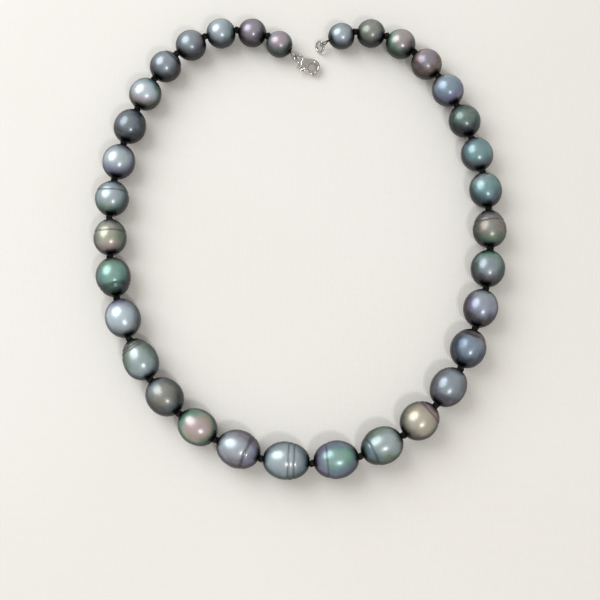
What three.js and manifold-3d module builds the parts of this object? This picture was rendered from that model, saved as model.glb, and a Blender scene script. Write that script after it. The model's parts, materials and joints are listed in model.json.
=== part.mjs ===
// A knotted strand of 33 graduated dark baroque pearls, laid in an open loop with its clasp undone.
// Units are millimetres. Z is up, the strand lies on z = 0, and the clasp end of the loop points to +Y.
// The silk cord runs through every drill hole, with a knot between each two pearls that works as a
// small ball joint. An even-numbered pearl keeps the knots on both of its sides on one length of cord.
import * as THREE from "three";
import { mergeVertices } from "three/addons/utils/BufferGeometryUtils.js";
import Module from "manifold-3d";

const wasm = await Module();
wasm.setup();

// Body colours of the nacre.
const HUES = {
  silver: 0x7c878e,
  slate: 0x5f6873,
  teal: 0x64736f,
  blue: 0x4f6076,
  green: 0x41594d,
  peacock: 0x5f7566,
  olive: 0x5c5a50,
  rose: 0x716667,
  mauve: 0x625d69,
  charcoal: 0x3b4146,
};

// Each pearl from the left clasp end, round the front, to the right clasp end:
// width across the drill axis, length along it, how much fuller its later end is, and its hue.
const PEARLS = [
  [8.8, 8.9, 0, "peacock"],
  [9.5, 9.5, 0, "mauve"],
  [9.9, 9.8, 0, "teal"],
  [10.2, 10.2, 0, "rose"],
  [10.4, 10.5, 0, "slate"],
  [10.6, 10.9, 0.03, "peacock"],
  [10.6, 11.5, 0.03, "charcoal"],
  [10.6, 11.7, 0, "silver"],
  [10.9, 11.6, 0, "teal"],
  [10.6, 12.0, 0.05, "rose"],
  [11.1, 12.7, -0.03, "green"],
  [11.2, 12.7, 0, "silver"],
  [11.0, 13.8, 0.1, "teal"],
  [11.4, 13.0, 0, "olive"],
  [11.2, 13.0, 0.02, "peacock"],
  [11.8, 14.0, 0.02, "mauve"],
  [11.8, 14.5, 0, "silver"],
  [11.8, 14.2, 0, "blue"],
  [11.6, 13.5, 0.03, "teal"],
  [11.7, 12.9, -0.03, "olive"],
  [11.1, 13.0, 0, "slate"],
  [11.3, 12.7, 0, "blue"],
  [11.0, 12.3, 0.03, "slate"],
  [11.0, 12.1, 0, "green"],
  [10.8, 12.3, -0.07, "olive"],
  [10.6, 11.7, 0, "teal"],
  [10.5, 11.1, 0, "slate"],
  [10.5, 11.1, 0, "charcoal"],
  [10.5, 10.7, 0, "slate"],
  [10.3, 10.4, 0, "rose"],
  [9.9, 9.9, 0, "peacock"],
  [9.5, 9.6, 0, "olive"],
  [8.8, 8.9, 0, "silver"],
].map(([across, along, taper, hue]) => ({ across, along, taper, hue }));
const MIDDLE_PEARL = 17;

// Drilling and stringing.
const KNOT_GAP = 1.0; // between two pearls' ends, along the cord
const KNOT_R = 1.2;
const THREAD_R = 0.3;
const HOLE_R = 0.5;
const MOUTH_R = 1.45; // the hole's mouth is countersunk, so that a knot can seat in it
const MOUTH_DEPTH = 1.2;
const PEARL_SIDES = 12;
const CORD_SIDES = 8;

// The line that the strand lies along, from the left clasp end to the right one.
const STRAND_LINE = [
  [-3, 85],
  [-11, 91],
  [-26, 92.5],
  [-42, 83.5],
  [-54, 64.5],
  [-60.5, 40],
  [-61, 16],
  [-55.5, -8],
  [-42, -31.5],
  [-20, -47],
  [3.4, -51],
  [26, -46],
  [46, -28.5],
  [57, -3],
  [61, 22],
  [58.5, 46],
  [51, 67.5],
  [39, 84],
  [24, 92.5],
  [12, 91],
  [4, 85],
];
const FRONT_POINT = 10; // the entry of STRAND_LINE at the knot after the middle pearl
const LINE_STEPS = 4000;

// Clasp and end loops. Every length starts where the end pearl's cord leaves it.
const LOOP_R = 1.1;
const LOOP_WIRE_R = 0.4;
const LOOP_REACH = 1.9; // to the middle of the loop
const LOOP_BALL_R = 0.6;
const LINK_REACH = 2.0; // to the wire that is hooked through the loop
const LOOP_DROP = THREE.MathUtils.degToRad(36);
const CLASP_TURN = THREE.MathUtils.degToRad(6); // the clasp end's extra turn away from the ring
const EYE_R = 1.3;
const EYE_WIRE_R = 0.45;
const CLAW_THICKNESS = 2.4;
const CLAW_LENGTH = 9.1;
const HOOK_AT = [6.9, 0]; // the middle of the claw's round opening
const HOOK_R = 1.45;
const RING_R = 1.75;
const RING_WIRE_R = 0.4;
const PIVOT = [4.1, -1.6];
const PIN_R = 0.35;
const PIN_HOLE_R = 0.5;
const TRIGGER_HOLE_R = 0.55;
const TRIGGER_THICKNESS = 1.0;
const HUB_R = 0.95;
const SLOT_SIZE = [2.9, 3, 1.6]; // the slot in the claw that the trigger turns in
const SLOT_AT = [4.4, -1.9];
const SPRING_AT = [4.6, -0.5]; // the end of the spring that faces the trigger
const SPRING_LENGTH = 0.9;
const SPRING_R = 0.26;
const SPRING_WIRE_R = 0.06;
const POCKET_R = 0.42;
const POCKET_DEPTH = 1.1;

const UP = new THREE.Vector3(0, 0, 1);

// Solids and booleans.
function solidOf(geometry) {
  const bare = new THREE.BufferGeometry().setAttribute("position", geometry.getAttribute("position"));
  if (geometry.index) bare.setIndex(geometry.index);
  const merged = mergeVertices(bare, 1e-4);
  return new wasm.Manifold(
    new wasm.Mesh({
      numProp: 3,
      vertProperties: merged.attributes.position.array,
      triVerts: new Uint32Array(merged.index.array),
    }),
  );
}

function geometryOf(solid) {
  const mesh = solid.getMesh();
  return new THREE.BufferGeometry()
    .setAttribute("position", new THREE.BufferAttribute(mesh.vertProperties, 3))
    .setIndex(new THREE.BufferAttribute(mesh.triVerts, 1));
}

function lathe(profile, sides) {
  const points = profile.map(([r, y]) => new THREE.Vector2(r, y));
  return new THREE.LatheGeometry(points, sides, Math.PI / sides, 2 * Math.PI);
}

function plate(shape, thickness, segments) {
  const settings = { depth: thickness, bevelEnabled: false, curveSegments: segments };
  return new THREE.ExtrudeGeometry(shape, settings).translate(0, 0, -thickness / 2);
}

function upright(radius, height, sides, [x, y]) {
  return new THREE.CylinderGeometry(radius, radius, height, sides).rotateX(Math.PI / 2).translate(x, y, 0);
}

// A pearl about its drill axis, local Y, with a narrow straight band round its middle. Its flats touch
// the true outline, so that the lowest one is its foot.
function pearlGeometry({ across, along, taper }) {
  const half = along / 2;
  const radius = across / 2 / Math.cos(Math.PI / PEARL_SIDES);
  const ringAt = (degrees) => {
    const turn = THREE.MathUtils.degToRad(degrees);
    return [radius * Math.sin(turn) * (1 - taper * Math.cos(turn)), -half * Math.cos(turn)];
  };
  const band = half * Math.cos(THREE.MathUtils.degToRad(80));
  const outline = [ringAt(24), ringAt(50), [radius, -band], [radius, band], ringAt(130), ringAt(156)];
  const mouth = half * Math.sqrt(1 - (2 * MOUTH_R / across) ** 2);
  const floor = half - MOUTH_DEPTH;
  const start = [HOLE_R, -floor];
  return lathe([start, [MOUTH_R, -mouth], ...outline, [MOUTH_R, mouth], [HOLE_R, floor], start], PEARL_SIDES);
}

// A length of cord through one pearl, with a knot at each end.
function cordGeometry({ along }) {
  const knot = (along + KNOT_GAP) / 2;
  const round = [[0, 1], [0.75, 0.68], [1, 0], [0.75, -0.68], [THREAD_R / KNOT_R, -1]];
  const top = round.map(([r, y]) => [r * KNOT_R, knot + y * KNOT_R]);
  const bottom = top.map(([r, y]) => [r, -y]);
  return lathe([...bottom, ...top.reverse()], CORD_SIDES);
}

// The plain end of the cord inside an end pearl.
function threadGeometry({ along }) {
  return new THREE.CylinderGeometry(THREAD_R, THREAD_R, along - 2 * MOUTH_DEPTH, CORD_SIDES);
}

// A wire-covered cord loop, upright in the plane of local Y and Z, on a ball that seats in the pearl's mouth.
function endLoopGeometry() {
  const loop = new THREE.TorusGeometry(LOOP_R, LOOP_WIRE_R, 6, 14);
  loop.rotateY(Math.PI / 2).translate(0, LOOP_REACH, 0);
  const ball = new THREE.SphereGeometry(LOOP_BALL_R, 8, 6);
  return geometryOf(solidOf(loop).add(solidOf(ball)));
}

function ringGeometry() {
  return new THREE.TorusGeometry(RING_R, RING_WIRE_R, 6, 18).translate(0, RING_R, 0);
}

// The claw lies in its local XY plane, with X along it. The middle of its eye's near wire is the origin.
function clawGeometry() {
  const shape = new THREE.Shape();
  shape.moveTo(2.3, 0.75);
  const back = [[3.6, 1.5], [5.2, 2.3], [6.9, 2.6], [8.4, 1.9], [CLAW_LENGTH, 0.3], [8.9, -1.3], [8.4, -2.1]];
  shape.splineThru(back.map(([x, y]) => new THREE.Vector2(x, y)));
  shape.lineTo(8.15, -1.3);
  shape.absarc(...HOOK_AT, HOOK_R, -0.7, Math.PI + 0.35, false);
  shape.lineTo(5.4, -2.1);
  shape.lineTo(4.3, -2.7);
  shape.lineTo(3.1, -2.1);
  shape.lineTo(2.3, -0.75);
  const eye = new THREE.TorusGeometry(EYE_R, EYE_WIRE_R, 6, 16).translate(EYE_R, 0, 0);
  const slot = new THREE.BoxGeometry(...SLOT_SIZE).translate(...SLOT_AT, 0);
  const hole = upright(PIN_HOLE_R, 2 * CLAW_THICKNESS, 10, PIVOT);
  const pocket = new THREE.CylinderGeometry(POCKET_R, POCKET_R, POCKET_DEPTH, 10);
  pocket.translate(SPRING_AT[0], SPRING_AT[1] + POCKET_DEPTH / 2, 0);
  const whole = solidOf(plate(shape, CLAW_THICKNESS, 3)).add(solidOf(eye));
  return geometryOf([slot, hole, pocket].reduce((solid, cut) => solid.subtract(solidOf(cut)), whole));
}

// The sprung gate: a hub on the pin, an arm to the claw's nose, and a thumb tab outside.
function triggerGeometry() {
  const [px, py] = PIVOT;
  const shape = new THREE.Shape();
  shape.absarc(px, py, HUB_R, Math.PI / 2, Math.PI, false);
  shape.lineTo(px - 1.1, py - 1.5);
  shape.lineTo(px - 0.3, py - 1.7);
  shape.lineTo(px + 0.4, py - 0.75);
  shape.lineTo(7.2, -2.35);
  shape.lineTo(8.0, -2.2);
  shape.lineTo(7.95, -1.45);
  shape.lineTo(6.5, -1.5);
  const hole = new THREE.Path();
  hole.absarc(px, py, TRIGGER_HOLE_R, 0, 2 * Math.PI, true);
  shape.holes.push(hole);
  return plate(shape, TRIGGER_THICKNESS, 4);
}

function pinGeometry() {
  return upright(PIN_R, CLAW_THICKNESS, 10, PIVOT);
}

// A small open coil in its pocket in the claw, above the trigger's arm.
function springGeometry() {
  const turns = 2.5;
  const steps = 20;
  const [x, y] = SPRING_AT;
  const points = [];
  for (let i = 0; i <= steps; i++) {
    const turn = (i / steps) * turns * 2 * Math.PI;
    const across = SPRING_R * Math.cos(turn);
    points.push(new THREE.Vector3(x + across, y + (SPRING_LENGTH * i) / steps, SPRING_R * Math.sin(turn)));
  }
  const wire = new THREE.Shape().absarc(0, 0, SPRING_WIRE_R, 0, 2 * Math.PI, false);
  const extrudePath = new THREE.CatmullRomCurve3(points);
  return new THREE.ExtrudeGeometry(wire, { steps, bevelEnabled: false, curveSegments: 5, extrudePath });
}

// Where the knots lie: each is one pearl and one gap from the last, walked along the strand's line.
function knotPlaces() {
  const points = STRAND_LINE.map(([x, y]) => new THREE.Vector3(x, y, 0));
  const curve = new THREE.CatmullRomCurve3(points, false, "centripetal");
  const line = curve.getPoints(LINE_STEPS);
  const start = Math.round((FRONT_POINT / (points.length - 1)) * LINE_STEPS);
  const knots = [];
  const walk = (from, step, pearls) => {
    let at = from;
    for (const pearl of pearls) {
      const begin = line[at];
      while (line[at + step] && line[at].distanceTo(begin) < PEARLS[pearl - 1].along + KNOT_GAP) at += step;
      knots[step < 0 ? pearl - 1 : pearl] = line[at].clone();
    }
  };
  knots[MIDDLE_PEARL] = line[start].clone();
  const left = Array.from({ length: MIDDLE_PEARL }, (_, i) => MIDDLE_PEARL - i);
  const right = Array.from({ length: PEARLS.length - MIDDLE_PEARL }, (_, i) => MIDDLE_PEARL + 1 + i);
  walk(start, -1, left);
  walk(start, 1, right);
  knots.forEach((knot, i) => {
    const before = PEARLS[Math.max(i - 1, 0)];
    const after = PEARLS[Math.min(i, PEARLS.length - 1)];
    knot.z = (before.across + after.across) / 4;
  });
  return knots;
}

// A group whose local Y runs along a heading, with its local Z as near to up as that allows.
function frameAlong(position, heading) {
  const y = heading.clone().normalize();
  const z = UP.clone().addScaledVector(y, -UP.dot(y)).normalize();
  const group = new THREE.Group();
  group.quaternion.setFromRotationMatrix(new THREE.Matrix4().makeBasis(y.clone().cross(z), y, z));
  group.position.copy(position);
  return group;
}

function named(name, geometry, color, roughness, metalness) {
  const mesh = new THREE.Mesh(geometry, new THREE.MeshStandardMaterial({ color, roughness, metalness }));
  mesh.name = name;
  return mesh;
}

const metal = (name, geometry) => named(name, geometry, 0xd8d5cc, 0.22, 1);
const silk = (name, geometry) => named(name, geometry, 0x0d0d10, 0.75, 0);
const number = (i) => String(i).padStart(2, "0");

const necklace = new THREE.Group();
const knots = knotPlaces();

// Every pearl lies level on its foot. The cord slopes a little from one size of pearl to the next.
PEARLS.forEach((pearl, i) => {
  const middle = knots[i].clone().add(knots[i + 1]).multiplyScalar(0.5);
  const heading = knots[i + 1].clone().sub(knots[i]);
  const cordPlace = frameAlong(middle, heading);
  if (i % 2 === 1) cordPlace.add(silk(`cord_${number(i + 1)}`, cordGeometry(pearl)));
  if (i === 0) cordPlace.add(silk("end_cord_left", threadGeometry(pearl)));
  if (i === PEARLS.length - 1) cordPlace.add(silk("end_cord_right", threadGeometry(pearl)));
  const pearlPlace = frameAlong(middle.clone().setZ(pearl.across / 2), heading.clone().setZ(0));
  pearlPlace.add(named(`pearl_${number(i + 1)}`, pearlGeometry(pearl), HUES[pearl.hue], 0.22, 0.35));
  necklace.add(pearlPlace, cordPlace);
});

// The two ends: the cord's loop slopes down from the pearl, and what is linked to it slopes on to rest on
// the table. Each returns the group that the linked piece goes in, with local Y along it.
function strandEnd(side, knot, nextKnot, turn, slope) {
  const outward = knot.clone().sub(nextKnot).setZ(0).normalize().applyAxisAngle(UP, turn);
  const sideways = UP.clone().cross(outward);
  const down = (angle) => outward.clone().applyAxisAngle(sideways, angle);
  const loop = frameAlong(knot, down(LOOP_DROP));
  loop.add(metal(`end_loop_${side}`, endLoopGeometry()));
  necklace.add(loop);
  const link = frameAlong(knot.clone().addScaledVector(down(LOOP_DROP), LINK_REACH), down(slope));
  necklace.add(link);
  return link;
}

// How steeply a piece of this length slopes when its far end rests with its middle at this height.
function slopeOf(knot, height, length) {
  const hooked = knot.z - LINK_REACH * Math.sin(LOOP_DROP);
  return Math.asin((hooked - height) / length);
}

const [first, second] = knots;
const [last, lastButOne] = [...knots].reverse();
const claspSlope = slopeOf(first, CLAW_THICKNESS / 2, CLAW_LENGTH);
const ringSlope = slopeOf(last, RING_WIRE_R, 2 * RING_R);
const claspEnd = strandEnd("left", first, second, CLASP_TURN, claspSlope);
const ringEnd = strandEnd("right", last, lastButOne, 0, ringSlope);

const clasp = new THREE.Group();
clasp.rotation.z = Math.PI / 2;
clasp.add(metal("clasp_body", clawGeometry()));
clasp.add(metal("clasp_trigger", triggerGeometry()));
clasp.add(metal("trigger_pin", pinGeometry()));
clasp.add(metal("trigger_spring", springGeometry()));
claspEnd.add(clasp);
ringEnd.add(metal("clasp_ring", ringGeometry()));

// The origin is under the middle of the whole piece, on the table.
necklace.updateMatrixWorld(true);
const bounds = new THREE.Box3().setFromObject(necklace, true);
const middle = bounds.getCenter(new THREE.Vector3()).setZ(bounds.min.z);
for (const group of necklace.children) group.position.sub(middle);

export default necklace;
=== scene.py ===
"""A knotted strand of dark baroque pearls lying on pale linen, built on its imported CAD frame."""
import json
import math

import bmesh
import bpy
from mathutils import Matrix, Vector, noise


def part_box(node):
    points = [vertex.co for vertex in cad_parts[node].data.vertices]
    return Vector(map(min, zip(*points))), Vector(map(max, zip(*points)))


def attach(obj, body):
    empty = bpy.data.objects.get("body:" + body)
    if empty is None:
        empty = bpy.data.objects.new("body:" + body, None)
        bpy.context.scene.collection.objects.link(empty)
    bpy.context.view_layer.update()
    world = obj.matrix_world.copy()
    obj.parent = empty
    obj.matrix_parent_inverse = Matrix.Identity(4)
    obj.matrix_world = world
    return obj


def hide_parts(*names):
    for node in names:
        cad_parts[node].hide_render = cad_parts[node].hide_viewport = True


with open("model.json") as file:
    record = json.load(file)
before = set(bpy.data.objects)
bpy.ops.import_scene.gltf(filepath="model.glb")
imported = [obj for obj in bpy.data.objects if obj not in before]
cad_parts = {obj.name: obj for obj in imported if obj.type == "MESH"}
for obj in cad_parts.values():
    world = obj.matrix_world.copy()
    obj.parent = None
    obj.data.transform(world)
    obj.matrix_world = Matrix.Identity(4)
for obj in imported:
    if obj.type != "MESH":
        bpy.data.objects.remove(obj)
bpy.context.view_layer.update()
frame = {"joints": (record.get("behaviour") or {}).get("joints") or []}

MM = 0.001
UP = Vector((0, 0, 1))

# Stringing, as in the CAD, with the knots a little fuller.
KNOT_GAP = 1.0 * MM
HOLE_R = 0.5 * MM
MOUTH_R = 1.45 * MM
MOUTH_DEPTH = 1.2 * MM
THREAD_R = 0.3 * MM
KNOT_R = 1.25 * MM
KNOT_PLY_R = 0.42 * MM
KNOT_DEPTH = 0.55 * MM  # how far the knot's cord winds each way along the strand
KNOT_STEPS = 48
THREAD_STEPS = 24
BEND_R = 1.05 * MM  # where the countersunk mouth turns into the hole
BEND_DEPTH = 0.75 * MM

# End loops and clasp in millimetres: the shapes of the CAD, with finer wire and rounded edges.
LOOP_R = 1.1
LOOP_REACH = 1.9
GIMP_R = 0.28
GIMP_WIRE_R = 0.1
GIMP_PITCH = 0.24
EYE_R = 1.3
EYE_WIRE_R = 0.45
RING_R = 1.75
RING_WIRE_R = 0.4
CLAW_THICKNESS = 2.4
CLAW_EDGE = 0.45
TRIGGER_THICKNESS = 1.0
TRIGGER_EDGE = 0.22
PIVOT = (4.1, -1.6)
PIN_R = 0.35
RIVET_SIDES = 20
PIN_HOLE_R = 0.5
TRIGGER_HOLE_R = 0.55
HUB_R = 0.95
HOOK_AT = (6.9, 0)
HOOK_R = 1.45
CLAW_BACK = [(2.3, 0.75), (3.6, 1.5), (5.2, 2.3), (6.9, 2.6), (8.4, 1.9), (9.1, 0.3), (8.9, -1.3)]
CLAW_NOSE = [(8.4, -2.1), (8.15, -1.3)]
CLAW_ROOT = [(5.4, -2.1), (4.3, -2.7), (3.1, -2.1), (2.3, -0.75)]
SLOT_AT = (4.4, -1.9, 0)
SLOT_SIZE = (2.9, 3, 1.6)
TRIGGER_ARM = [(7.2, -2.35), (8.0, -2.2), (7.95, -1.45), (6.5, -1.5)]
SPRING_AT = (4.6, -0.5)
SPRING_LENGTH = 0.95
SPRING_R = 0.26
SPRING_WIRE_R = 0.05
SPRING_TURNS = 5
POCKET_R = 0.42
POCKET_DEPTH = 1.1

# Stage, lights and camera. Each light: where it is, its size, power and colour.
KEY_SOFTBOX = ((0.16, -0.36, 0.62), 0.1, 0.85, (1, 1, 1))
WINDOW = ((-0.48, 0.34, 0.56), 0.75, 4.2, (0.93, 0.97, 1.0))
ROOM_COLOR = (1.0, 0.98, 0.95, 1.0)
ROOM_STRENGTH = 0.5
CAMERA_ELEVATION = 78
CAMERA_DISTANCE = 0.3435
CAMERA_TARGET = (0, -0.020, 0.0055)
CAMERA_LENS = 65
BOARD_HALF = 2.0

# Pearl mesh detail.
ROUND = 44
ARC_STEPS = 60

# Nacre hues.
HUES = {
    "pale": "#bccbd4",
    "silver": "#a5b2b8",
    "steel": "#8c98a2",
    "slate": "#667079",
    "charcoal": "#3c4147",
    "blue": "#748a9e",
    "indigo": "#4a566b",
    "violet": "#8a86a6",
    "mauve": "#8b828f",
    "aubergine": "#5a4b52",
    "rose": "#b0959d",
    "bronze": "#836f62",
    "champagne": "#b6ab95",
    "olive": "#7a7a6d",
    "moss": "#728b74",
    "emerald": "#6fa58c",
    "bottle": "#4a6459",
    "teal": "#668e8f",
}

# How each pearl is coloured: its first end, middle and last end along the strand, then the crown that
# faces up and the side that faces the table.
# The crown and side hues are partly the pearl's own colour and partly painted light: a painted overtone
# on the top, and painted overtone and painted shade round the lower part.
# Last, where fine growth rings circle it, from -1 to 1.
PEARLS = [
    ("slate", "mauve", "silver", "rose", "moss", []),
    ("charcoal", "mauve", "aubergine", "mauve", "aubergine", []),
    ("teal", "silver", "steel", "silver", "slate", []),
    ("mauve", "slate", "slate", "steel", "aubergine", []),
    ("slate", "slate", "slate", "steel", "aubergine", [-0.66, -0.55]),
    ("teal", "pale", "rose", "pale", "moss", []),
    ("indigo", "slate", "charcoal", "slate", "charcoal", []),
    ("steel", "pale", "violet", "silver", "violet", []),
    ("steel", "silver", "moss", "silver", "teal", [-0.3]),
    ("mauve", "moss", "rose", "champagne", "moss", [-0.18]),
    ("moss", "teal", "bottle", "emerald", "bottle", [0.42, 0.58]),
    ("violet", "pale", "silver", "pale", "steel", []),
    ("bronze", "moss", "silver", "silver", "teal", [-0.62, -0.46]),
    ("steel", "olive", "slate", "olive", "charcoal", []),
    ("emerald", "champagne", "champagne", "rose", "emerald", []),
    ("pale", "mauve", "violet", "silver", "mauve", [0.32, 0.46]),
    ("pale", "silver", "steel", "silver", "teal", [0.08, 0.3]),
    ("violet", "blue", "emerald", "emerald", "violet", [-0.36]),
    ("blue", "moss", "silver", "silver", "moss", [-0.55]),
    ("olive", "champagne", "rose", "champagne", "olive", [0.58]),
    ("charcoal", "slate", "steel", "steel", "mauve", []),
    ("charcoal", "indigo", "bronze", "blue", "indigo", [0.5, 0.64]),
    ("charcoal", "violet", "silver", "steel", "aubergine", []),
    ("aubergine", "bottle", "emerald", "steel", "charcoal", []),
    ("moss", "bronze", "aubergine", "olive", "bottle", [0.3]),
    ("indigo", "teal", "silver", "teal", "bottle", []),
    ("slate", "teal", "blue", "teal", "slate", []),
    ("charcoal", "bottle", "bottle", "bottle", "charcoal", []),
    ("violet", "blue", "silver", "blue", "violet", []),
    ("bronze", "aubergine", "rose", "mauve", "bronze", []),
    ("aubergine", "moss", "emerald", "rose", "bottle", []),
    ("charcoal", "olive", "moss", "olive", "charcoal", []),
    ("slate", "steel", "steel", "silver", "charcoal", []),
]
# How much fuller a pearl's later end is than its earlier one, as in the CAD.
TAPERS = {6: 0.03, 7: 0.03, 10: 0.05, 11: -0.03, 13: 0.1, 15: 0.02, 16: 0.02}
TAPERS.update({19: 0.03, 20: -0.03, 23: 0.03, 25: -0.07})
COUNT = len(PEARLS)
RING_WIDTH = 0.34 * MM
RING_DEPTH = 0.15 * MM


def ring_tilts(number, k):
    """How far growth ring k of a pearl leans, as slopes along the pearl's X and Z."""
    return 0.07 * math.sin(3.1 * number + 5 * k), 0.07 * math.cos(2.3 * number + 4 * k)


# Meshes.
def new_object(name, verts, faces, material, smooth=True):
    mesh = bpy.data.meshes.new(name)
    mesh.from_pydata([tuple(v) for v in verts], [], faces)
    mesh.validate()
    bm = bmesh.new()
    bm.from_mesh(mesh)
    bmesh.ops.recalc_face_normals(bm, faces=bm.faces)
    bm.to_mesh(mesh)
    bm.free()
    mesh.polygons.foreach_set("use_smooth", [smooth] * len(mesh.polygons))
    obj = bpy.data.objects.new(name, mesh)
    bpy.context.scene.collection.objects.link(obj)
    mesh.materials.append(material)
    return obj


def grid_faces(rows, columns, closed_rows, offset=0):
    """Quads over a grid of points whose columns close on themselves."""
    faces = []
    for i in range(rows if closed_rows else rows - 1):
        for j in range(columns):
            a, b = i * columns, (i + 1) % rows * columns
            k = (j + 1) % columns
            faces.append([offset + a + j, offset + a + k, offset + b + k, offset + b + j])
    return faces


def tube(path, radius, sides, closed=False):
    """Vertices and faces of a round tube along a path, with flat ends where it is open."""
    count = len(path)
    verts = []
    side = None
    for i, point in enumerate(path):
        before = path[i - 1] if i or closed else path[0]
        after = path[(i + 1) % count] if i < count - 1 or closed else path[-1]
        along = (after - before).normalized()
        if side is None:
            side = along.orthogonal()
        side = (side - along * side.dot(along)).normalized()
        across = along.cross(side)
        for j in range(sides):
            turn = 2 * math.pi * j / sides
            verts.append(point + radius * (math.cos(turn) * side + math.sin(turn) * across))
    faces = grid_faces(count, sides, closed)
    if not closed:
        faces.append(list(range(sides - 1, -1, -1)))
        faces.append(list(range((count - 1) * sides, count * sides)))
    return verts, faces


def merged(parts):
    """Several meshes' vertices and faces as one."""
    verts, faces = [], []
    for more_verts, more_faces in parts:
        offset = len(verts)
        verts.extend(more_verts)
        faces.extend([offset + k for k in face] for face in more_faces)
    return verts, faces


def placed(part, matrix):
    """A mesh's vertices and faces, moved."""
    return [matrix @ v for v in part[0]], part[1]


def torus(radius, wire, steps, sides):
    """A ring in the XY plane that starts at the origin and reaches along X."""
    turns = [2 * math.pi * i / steps for i in range(steps)]
    path = [Vector((radius - radius * math.cos(t), radius * math.sin(t), 0)) for t in turns]
    return tube(path, wire, sides, closed=True)


def smooth_path(points, steps):
    """Points along a Catmull-Rom curve that runs through the given ones."""
    path = []
    last = len(points) - 1
    for i in range(last):
        p0, p1, p2, p3 = (points[min(max(k, 0), last)] for k in (i - 1, i, i + 1, i + 2))
        for s in range(steps):
            t = s / steps
            bend = (2 * p0 - 5 * p1 + 4 * p2 - p3) * t * t
            path.append((2 * p1 + (p2 - p0) * t + bend + (3 * p1 - p0 - 3 * p2 + p3) * t ** 3) / 2)
    path.append(points[last])
    return path


# Materials.
def linear(text):
    parts = [int(text[k : k + 2], 16) / 255 for k in (1, 3, 5)]
    return [p / 12.92 if p <= 0.04045 else ((p + 0.055) / 1.055) ** 2.4 for p in parts] + [1.0]


class Nodes:
    """A short way to write a material's nodes."""

    def __init__(self, name):
        self.material = bpy.data.materials.new(name)
        self.material.use_nodes = True
        self.tree = self.material.node_tree
        self.shader = self.tree.nodes["Principled BSDF"]
        coordinates = self.tree.nodes.new("ShaderNodeTexCoord")
        self.place = coordinates.outputs["Object"]

    def link(self, value, socket):
        if isinstance(value, bpy.types.NodeSocket):
            self.tree.links.new(value, socket)
        else:
            socket.default_value = value

    def math(self, operation, a, b=0.0, clamp=False):
        node = self.tree.nodes.new("ShaderNodeMath")
        node.operation = operation
        node.use_clamp = clamp
        self.link(a, node.inputs[0])
        self.link(b, node.inputs[1])
        return node.outputs[0]

    def ramp(self, value, start, end, low=0.0, high=1.0):
        """A smooth step: low at start, high at end."""
        node = self.tree.nodes.new("ShaderNodeMapRange")
        node.interpolation_type = "SMOOTHSTEP"
        keys = ("Value", "From Min", "From Max", "To Min", "To Max")
        for key, given in zip(keys, (value, start, end, low, high)):
            self.link(given, node.inputs[key])
        return node.outputs[0]

    def split(self):
        node = self.tree.nodes.new("ShaderNodeSeparateXYZ")
        self.link(self.place, node.inputs[0])
        return node.outputs

    def noise(self, scale, detail=2.0, shift=0.0):
        node = self.tree.nodes.new("ShaderNodeTexNoise")
        node.noise_dimensions = "4D"
        self.link(self.place, node.inputs["Vector"])
        node.inputs["W"].default_value = shift
        node.inputs["Scale"].default_value = scale
        node.inputs["Detail"].default_value = detail
        return node.outputs["Fac"]

    def wave(self, scale, direction, distortion=0.0):
        node = self.tree.nodes.new("ShaderNodeTexWave")
        node.bands_direction = direction
        self.link(self.place, node.inputs["Vector"])
        node.inputs["Scale"].default_value = scale
        node.inputs["Distortion"].default_value = distortion
        return node.outputs["Fac"]

    def mix(self, factor, a, b, mode="MIX"):
        node = self.tree.nodes.new("ShaderNodeMix")
        node.data_type = "RGBA"
        node.blend_type = mode
        self.link(factor, node.inputs[0])
        self.link(a, node.inputs[6])
        self.link(b, node.inputs[7])
        return node.outputs[2]

    def bump(self, height, strength, distance):
        node = self.tree.nodes.new("ShaderNodeBump")
        node.inputs["Strength"].default_value = strength
        node.inputs["Distance"].default_value = distance
        self.link(height, node.inputs["Height"])
        self.link(node.outputs[0], self.shader.inputs["Normal"])

    def set(self, **values):
        for key, value in values.items():
            self.link(value, self.shader.inputs[key.replace("_", " ")])


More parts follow.
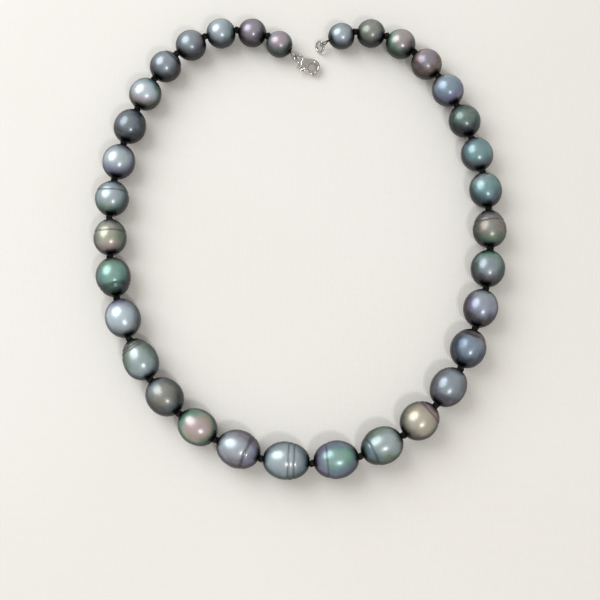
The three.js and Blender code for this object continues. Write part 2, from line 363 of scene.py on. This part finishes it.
def nacre(number, hues, rings, half, radius):
    """Pearl colours laid out in the pearl's own space: Y is its drill axis and Z its crown. Besides the
    nacre's own hues they hold painted light: painted overtone on the crown and sides, a painted highlight
    on the top, and painted shade on the lower half, in the growth-ring grooves and at the drill ends.
    """
    first, middle, last, crown, side = (linear(HUES[hue]) for hue in hues)
    n = Nodes(f"nacre_{number:02d}")
    x, y, z = n.split()
    drift = n.math("MULTIPLY", n.math("SUBTRACT", n.noise(190, 2, number), 0.5), 0.9)
    along = n.math("ADD", n.math("DIVIDE", y, half), drift)
    height = n.math("ADD", n.math("DIVIDE", z, radius), n.math("MULTIPLY", drift, 0.4))
    color = n.mix(n.ramp(along, -0.75, -0.1), first, middle)
    color = n.mix(n.ramp(along, 0.1, 0.75), color, last)
    # Crown hue on the top: partly the pearl's own colour, partly a painted overtone as seen from above.
    color = n.mix(n.ramp(height, 0.6, 1.0, 0.0, 0.7), color, crown)
    # Painted highlight: near white is added over the top of the crown.
    color = n.mix(n.ramp(height, 0.7, 1.0, 0.0, 0.14), color, linear("#eef3f6"), "ADD")
    # Side hue over the lower part: partly the pearl's own colour, partly painted overtone and painted
    # shade.
    color = n.mix(n.ramp(height, 0.85, 0.4, 0.0, 0.75), color, side)
    for k, ring in enumerate(rings):
        lean_x, lean_z = ring_tilts(number, k)
        lean = n.math("ADD", n.math("MULTIPLY", x, lean_x), n.math("MULTIPLY", z, lean_z))
        place = n.math("SUBTRACT", n.math("SUBTRACT", y, lean), ring * half)
        # Painted shade in each growth-ring groove: a dark band laid along the groove.
        painted_groove_shade = n.ramp(n.math("ABSOLUTE", place), 0.00055, 0.0001, 0.0, 0.5)
        color = n.mix(painted_groove_shade, color, linear("#3b3338"))
    fine = n.ramp(n.noise(900, 4, number), 0.35, 0.65, 0.0, 0.16)
    color = n.mix(fine, color, linear("#e8ecf0"), "MULTIPLY")
    cloud = n.ramp(n.noise(420, 3, number + 7), 0.4, 0.72, 0.0, 0.14)
    color = n.mix(cloud, color, linear("#cfd8e2"))
    # Painted shade: below the crown the colour is multiplied darker, most strongly from a third of the
    # way up downwards, darkening the rim and underside.
    color = n.mix(n.ramp(height, 0.79, 0.32, 0.0, 0.95), color, linear("#464a4f"), "MULTIPLY")
    # Painted shade and painted reflection of the black knots: the colour turns near black within about
    # 3.6 mm of the drill axis, at the hole mouths.
    off_axis = n.math("SQRT", n.math("ADD", n.math("MULTIPLY", x, x), n.math("MULTIPLY", z, z)))
    color = n.mix(n.ramp(off_axis, 0.0036, 0.0018), color, linear("#060607"))
    n.set(Base_Color=color, Metallic=0.5, Roughness=n.ramp(n.noise(350, 2, number), 0.3, 0.7, 0.27, 0.36))
    n.set(Specular_Tint=(0.3, 0.3, 0.32, 1.0), Coat_Weight=0.45, Coat_Roughness=0.2, Coat_IOR=1.5)
    ripples = n.math("MULTIPLY", n.wave(900, "Y", 6.0), 0.08)
    n.bump(n.math("ADD", n.noise(600, 3, number), ripples), 0.12, 0.0001)
    return n.material


def silk():
    n = Nodes("black_silk_thread")
    twist = n.wave(2600, "DIAGONAL", 1.5)
    color = n.mix(twist, linear("#020203"), linear("#0e0e11"))
    n.set(Base_Color=n.mix(n.ramp(n.noise(2500), 0.4, 0.7), color, linear("#08080a")), Roughness=0.6)
    n.set(Sheen_Weight=0.08, Sheen_Roughness=0.4, Specular_IOR_Level=0.3)
    n.bump(twist, 0.6, 0.0001)
    return n.material


def white_gold(name, roughness, tint="#dcdad4"):
    n = Nodes(name)
    wear = n.noise(1500, 4)
    n.set(Base_Color=n.mix(n.ramp(wear, 0.3, 0.7), linear(tint), linear("#c9c6bf")), Metallic=1.0)
    n.set(Roughness=n.ramp(wear, 0.3, 0.7, roughness, roughness + 0.1))
    n.bump(n.noise(4000, 3), 0.05, 0.00005)
    return n.material


def linen():
    n = Nodes("ivory_linen")
    weft = n.wave(560, "X", 2.2)
    warp = n.wave(560, "Y", 2.2)
    weave = n.math("MULTIPLY", n.math("ADD", weft, warp), 0.5)
    slub = n.noise(300, 4)
    color = n.mix(n.ramp(weave, 0.2, 0.8, 0.0, 0.35), linear("#f2eee7"), linear("#fcfaf6"))
    color = n.mix(n.ramp(slub, 0.35, 0.7, 0.0, 0.4), color, linear("#f6f2eb"))
    color = n.mix(n.ramp(n.noise(14, 2), 0.35, 0.65, 0.0, 0.35), color, linear("#f7f4ef"))
    n.set(Base_Color=color, Roughness=0.9)
    n.bump(n.math("ADD", weave, slub), 0.35, 0.00012)
    return n.material


# Where things are: every knot is a joint of the frame.
joints = {joint["name"]: joint for joint in frame["joints"]}


def joint_place(name):
    return Vector(joints[name]["pos_m"])


def knot_place(i):
    if i == 0:
        return joint_place("loop_swing_left")
    if i == COUNT:
        return joint_place("loop_swing_right")
    return joint_place(f"knot_{i:02d}_swing" if i % 2 else f"knot_{i:02d}_lift")


knots = [knot_place(i) for i in range(COUNT + 1)]


def frame_matrix(origin, x, y):
    """A placing matrix with the given X and Y directions."""
    z = x.cross(y)
    return Matrix.Translation(origin) @ Matrix((x, y, z)).transposed().to_4x4()


# Pearls.
def pearl_profile(half, radius, taper):
    """(radius, y) pairs from the hole's first end, over the outside, to its last end."""
    start = math.asin(MOUTH_R / radius)
    points = [(HOLE_R, MOUTH_DEPTH - half), (BEND_R, BEND_DEPTH - half)]
    for i in range(ARC_STEPS + 1):
        turn = start + (math.pi - 2 * start) * i / ARC_STEPS
        y = -half * math.cos(turn)
        points.append((radius * math.sin(turn) * (1 - taper * math.cos(turn)), y))
    points += [(BEND_R, half - BEND_DEPTH), (HOLE_R, half - MOUTH_DEPTH)]
    return points


def build_pearl(i):
    node = f"pearl_{i:02d}"
    low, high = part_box(node)
    radius = (high.z - low.z) / 2
    heading = knots[i] - knots[i - 1]
    heading.z = 0
    half = (heading.length - KNOT_GAP) / 2
    middle = (knots[i - 1] + knots[i]) / 2
    middle.z = (high.z + low.z) / 2
    y_axis = heading.normalized()
    matrix = frame_matrix(middle, y_axis.cross(UP), y_axis)
    *hues, rings = PEARLS[i - 1]
    verts = []
    for r, y in pearl_profile(half, radius, TAPERS.get(i, 0.0)):
        outside = min(1.0, max(0.0, (r - MOUTH_R) / MM))
        for j in range(ROUND):
            turn = 2 * math.pi * j / ROUND
            point = Vector((r * math.sin(turn), y, r * math.cos(turn)))
            lumps = noise.noise(point * 190 + Vector((i, 0, 0)))
            lumps += 0.4 * noise.noise(point * 480 + Vector((0, i, 0)))
            wide = r * (1 + 0.016 * lumps * outside)
            for k, ring in enumerate(rings):
                lean_x, lean_z = ring_tilts(i, k)
                near = (y - lean_x * point.x - lean_z * point.z - ring * half) / RING_WIDTH
                wide -= RING_DEPTH * outside * math.exp(-near * near)
            verts.append(Vector((wide * math.sin(turn), y, wide * math.cos(turn))))
    faces = grid_faces(len(verts) // ROUND, ROUND, closed_rows=True)
    pearl = new_object(f"baroque_{node}", verts, faces, nacre(i, hues, rings, half, radius))
    pearl.matrix_world = matrix
    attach(pearl, node)
    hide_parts(node)


# Silk cord and knots.
def overhand_knot(center, along, turn):
    """A pulled-tight trefoil of cord about a point, its axis on the strand."""
    side = along.orthogonal().normalized()
    side = Matrix.Rotation(turn, 3, along) @ side
    across = along.cross(side)
    reach = (KNOT_R - KNOT_PLY_R) / 3
    path = []
    for s in range(KNOT_STEPS):
        t = 2 * math.pi * s / KNOT_STEPS
        u = reach * (math.sin(t) + 2 * math.sin(2 * t))
        v = reach * (math.cos(t) - 2 * math.cos(2 * t))
        path.append(center + side * u + across * v - along * KNOT_DEPTH * math.sin(3 * t))
    return tube(path, KNOT_PLY_R, 8, closed=True)


def thread(start, end):
    path = [start.lerp(end, s / THREAD_STEPS) for s in range(THREAD_STEPS + 1)]
    return tube(path, THREAD_R, 8)


def build_cords(material):
    for i in range(1, COUNT + 1):
        start, end = knots[i - 1], knots[i]
        along = (end - start).normalized()
        parts = [thread(start, end)]
        if i % 2 == 0:
            parts += [overhand_knot(start, along, 0.7 * i), overhand_knot(end, along, 1.3 * i)]
        cord = new_object(f"silk_cord_{i:02d}", *merged(parts), material)
        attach(cord, f"pearl_{i:02d}")
        if i % 2 == 0:
            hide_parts(f"cord_{i:02d}")
        if i == 1:
            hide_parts("end_cord_left")
        if i == COUNT:
            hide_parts("end_cord_right")


# Wire-covered loops at the two ends.
def build_end_loop(side, knot, link, wire, core):
    along = (link - knot).normalized()
    level = along.cross(UP).normalized()
    matrix = frame_matrix(knot, along, level.cross(along)) @ Matrix.Scale(MM, 4)
    points = [Vector((0, 0.3, 0)), Vector((0.5, 0.42, 0))]
    for degrees in range(140, -141, -20):
        turn = math.radians(degrees)
        points.append(Vector((LOOP_REACH + LOOP_R * math.cos(turn), LOOP_R * math.sin(turn), 0)))
    points += [Vector((0.5, -0.42, 0)), Vector((0, -0.3, 0))]
    path = smooth_path(points, 14)
    length = sum((b - a).length for a, b in zip(path, path[1:]))
    coils = []
    steps = round(length / GIMP_PITCH) * 10
    lengths = [0.0]
    for a, b in zip(path, path[1:]):
        lengths.append(lengths[-1] + (b - a).length)
    k = 0
    for s in range(steps + 1):
        travelled = length * s / steps
        while k < len(path) - 2 and lengths[k + 1] < travelled:
            k += 1
        t = (travelled - lengths[k]) / (lengths[k + 1] - lengths[k])
        point = path[k].lerp(path[k + 1], t)
        tangent = (path[k + 1] - path[k]).normalized()
        out = Vector((0, 0, 1)).cross(tangent)
        turn = 2 * math.pi * travelled / GIMP_PITCH
        coils.append(point + GIMP_R * (math.cos(turn) * out + math.sin(turn) * Vector((0, 0, 1))))
    coil = new_object(f"gimp_coil_{side}", *placed(tube(coils, GIMP_WIRE_R, 5), matrix), wire)
    inside = new_object(f"gimp_core_{side}", *placed(tube(path, GIMP_R - 0.04, 8), matrix), core)
    for piece in (coil, inside):
        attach(piece, f"end_loop_{side}")
        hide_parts(f"end_loop_{side}")


# Clasp. Everything is built lying in XY, in millimetres, as in the CAD, and then placed.
def plate(name, outline, thickness, edge, material):
    """A flat piece of that outline with rounded edges."""
    curve = bpy.data.curves.new(name, "CURVE")
    curve.dimensions = "2D"
    curve.fill_mode = "BOTH"
    curve.extrude = thickness / 2 - edge
    curve.bevel_depth = edge
    curve.bevel_resolution = 3
    curve.offset = -edge
    spline = curve.splines.new("POLY")
    spline.points.add(len(outline) - 1)
    spline.use_cyclic_u = True
    for point, (x, y) in zip(spline.points, outline):
        point.co = (x, y, 0, 1)
    carrier = bpy.data.objects.new(name + "_curve", curve)
    bpy.context.scene.collection.objects.link(carrier)
    mesh = bpy.data.meshes.new_from_object(carrier.evaluated_get(bpy.context.evaluated_depsgraph_get()))
    bpy.data.objects.remove(carrier)
    bm = bmesh.new()
    bm.from_mesh(mesh)
    bmesh.ops.remove_doubles(bm, verts=bm.verts, dist=1e-4)
    bmesh.ops.recalc_face_normals(bm, faces=bm.faces)
    bm.to_mesh(mesh)
    bm.free()
    mesh.materials.clear()
    mesh.materials.append(material)
    piece = bpy.data.objects.new(name, mesh)
    bpy.context.scene.collection.objects.link(piece)
    return piece


def block(center, size):
    corners = [Vector((x, y, z)) for x in (-0.5, 0.5) for y in (-0.5, 0.5) for z in (-0.5, 0.5)]
    verts = [Vector(center) + Vector((c.x * size[0], c.y * size[1], c.z * size[2])) for c in corners]
    return verts, [[0, 1, 3, 2], [4, 6, 7, 5], [0, 4, 5, 1], [2, 3, 7, 6], [0, 2, 6, 4], [1, 5, 7, 3]]


def rod(x, y, radius, height, sides=24):
    return tube([Vector((x, y, -height / 2)), Vector((x, y, height / 2))], radius, sides)


def combine(piece, operation, part):
    """Adds a part to a piece, or cuts it away."""
    other = new_object("combined_part", *part, piece.data.materials[0], smooth=False)
    modifier = piece.modifiers.new("combine", "BOOLEAN")
    modifier.operation = operation
    modifier.solver = "EXACT"
    modifier.object = other
    mesh = bpy.data.meshes.new_from_object(piece.evaluated_get(bpy.context.evaluated_depsgraph_get()))
    piece.modifiers.clear()
    piece.data = mesh
    bpy.data.objects.remove(other)


def finish_piece(piece, matrix, body, node, material):
    piece.data.transform(matrix)
    piece.data.materials.clear()
    piece.data.materials.append(material)
    piece.data.polygons.foreach_set("material_index", [0] * len(piece.data.polygons))
    piece.data.polygons.foreach_set("use_smooth", [True] * len(piece.data.polygons))
    piece.data.set_sharp_from_angle(angle=math.radians(38))
    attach(piece, body)
    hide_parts(node)


def arc(x, y, radius, start, end, steps):
    turns = [start + (end - start) * s / steps for s in range(steps + 1)]
    return [(x + radius * math.cos(t), y + radius * math.sin(t)) for t in turns]


def spline_points(points, steps):
    return [(p.x, p.y) for p in smooth_path([Vector((x, y, 0)) for x, y in points], steps)]


def build_clasp(polished, satin):
    tilt = joints["clasp_tilt"]
    y = Vector(tilt["axis"]).normalized()
    z = Vector(joints["trigger_hinge"]["axis"]).normalized()
    matrix = frame_matrix(Vector(tilt["pos_m"]), y.cross(z), y) @ Matrix.Scale(MM, 4)
    px, py = PIVOT

    outline = spline_points(CLAW_BACK + CLAW_NOSE[:1], 8) + CLAW_NOSE[1:]
    outline += arc(*HOOK_AT, HOOK_R, -0.7, math.pi + 0.35, 28) + CLAW_ROOT
    claw = plate("lobster_claw", outline, CLAW_THICKNESS, CLAW_EDGE, polished)
    combine(claw, "UNION", torus(EYE_R, EYE_WIRE_R, 40, 14))
    combine(claw, "DIFFERENCE", block(SLOT_AT, SLOT_SIZE))
    combine(claw, "DIFFERENCE", rod(px, py, PIN_HOLE_R, 2 * CLAW_THICKNESS))
    pocket = [Vector((SPRING_AT[0], SPRING_AT[1] + reach, 0)) for reach in (0, POCKET_DEPTH)]
    combine(claw, "DIFFERENCE", tube(pocket, POCKET_R, 20))
    finish_piece(claw, matrix, "clasp_body", "clasp_body", polished)

    hub = arc(px, py, HUB_R, math.pi / 2, math.pi, 10)
    tab = [(px - 1.1, py - 1.5), (px - 0.3, py - 1.7), (px + 0.4, py - 0.75)]
    trigger = plate("sprung_trigger", hub + tab + TRIGGER_ARM, TRIGGER_THICKNESS, TRIGGER_EDGE, polished)
    combine(trigger, "DIFFERENCE", rod(px, py, TRIGGER_HOLE_R, 2 * TRIGGER_THICKNESS))
    finish_piece(trigger, matrix, "clasp_trigger", "clasp_trigger", polished)

    heads = [(0.02, -0.5), (PIN_R + 0.1, -0.47), (PIN_R + 0.1, -0.44), (PIN_R, -0.42)]
    profile = heads + [(r, -t) for r, t in reversed(heads)]
    verts = []
    for r, t in profile:
        level = t * (CLAW_THICKNESS + 0.1)
        verts += [Vector((x, y, level)) for x, y in arc(px, py, r, 0, 2 * math.pi, RIVET_SIDES)[:-1]]
    faces = grid_faces(len(profile), RIVET_SIDES, closed_rows=False)
    faces += [list(range(RIVET_SIDES - 1, -1, -1))]
    faces += [list(range(len(verts) - RIVET_SIDES, len(verts)))]
    pin = new_object("trigger_rivet", verts, faces, satin)
    finish_piece(pin, matrix, "clasp_body", "trigger_pin", satin)

    coil = []
    for s in range(SPRING_TURNS * 12 + 1):
        turn = 2 * math.pi * s / 12
        along = SPRING_AT[1] + SPRING_LENGTH * s / (SPRING_TURNS * 12)
        coil.append(Vector((SPRING_AT[0] + SPRING_R * math.cos(turn), along, SPRING_R * math.sin(turn))))
    spring = new_object("trigger_coil", *tube(coil, SPRING_WIRE_R, 6), satin)
    finish_piece(spring, matrix, "clasp_body", "trigger_spring", satin)


def build_ring(polished):
    tilt = joints["ring_tilt"]
    link = Vector(tilt["pos_m"])
    low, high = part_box("clasp_ring")
    middle = (low + high) / 2
    along = middle - link
    across = Vector(tilt["axis"]).normalized()
    along = (along - across * along.dot(across)).normalized()
    matrix = frame_matrix(link, along, across) @ Matrix.Scale(MM, 4)
    verts, faces = torus(RING_R, RING_WIRE_R, 56, 16)
    ring = new_object("jump_ring", verts, faces, polished)
    finish_piece(ring, matrix, "clasp_ring", "clasp_ring", polished)


# Stage, light and camera.
def build_stage():
    corners = [Vector((x, y, 0)) * BOARD_HALF for x, y in ((-1, -1), (1, -1), (1, 1), (-1, 1))]
    floor = new_object("linen_board", corners, [[0, 1, 2, 3]], linen(), smooth=False)


def area_light(name, place, size, power, color):
    """A round soft light that points at the middle of the strand."""
    data = bpy.data.lights.new(name, "AREA")
    data.shape = "DISK"
    data.size = size
    data.energy = power
    data.color = color
    light = bpy.data.objects.new(name, data)
    light.location = place
    light.rotation_euler = (-Vector(place)).to_track_quat("-Z", "Y").to_euler()
    bpy.context.scene.collection.objects.link(light)


def build_light():
    world = bpy.data.worlds.new("studio")
    world.use_nodes = True
    background = world.node_tree.nodes["Background"]
    background.inputs["Color"].default_value = ROOM_COLOR
    background.inputs["Strength"].default_value = ROOM_STRENGTH
    scene = bpy.context.scene
    scene.world = world
    scene.view_settings.view_transform = "Standard"
    area_light("key_softbox", *KEY_SOFTBOX)
    area_light("window", *WINDOW)


def build_camera():
    elevation = math.radians(CAMERA_ELEVATION)
    back = Vector((0, -math.cos(elevation), math.sin(elevation)))
    data = bpy.data.cameras.new("camera")
    data.sensor_width = 36
    data.lens = CAMERA_LENS
    camera = bpy.data.objects.new("camera", data)
    camera.location = Vector(CAMERA_TARGET) + back * CAMERA_DISTANCE
    camera.rotation_euler = (math.pi / 2 - elevation, 0, 0)
    bpy.context.scene.collection.objects.link(camera)
    bpy.context.scene.camera = camera


silk_material = silk()
polished_metal = white_gold("polished_white_gold", 0.1)
satin_metal = white_gold("satin_white_gold", 0.22)
gimp_metal = white_gold("gimp_wire", 0.2, "#d8d8d6")

for number in range(1, COUNT + 1):
    build_pearl(number)
build_cords(silk_material)
build_end_loop("left", knots[0], joint_place("clasp_tilt"), gimp_metal, silk_material)
build_end_loop("right", knots[COUNT], joint_place("ring_tilt"), gimp_metal, silk_material)
build_clasp(polished_metal, satin_metal)
build_ring(polished_metal)
build_stage()
build_light()
build_camera()
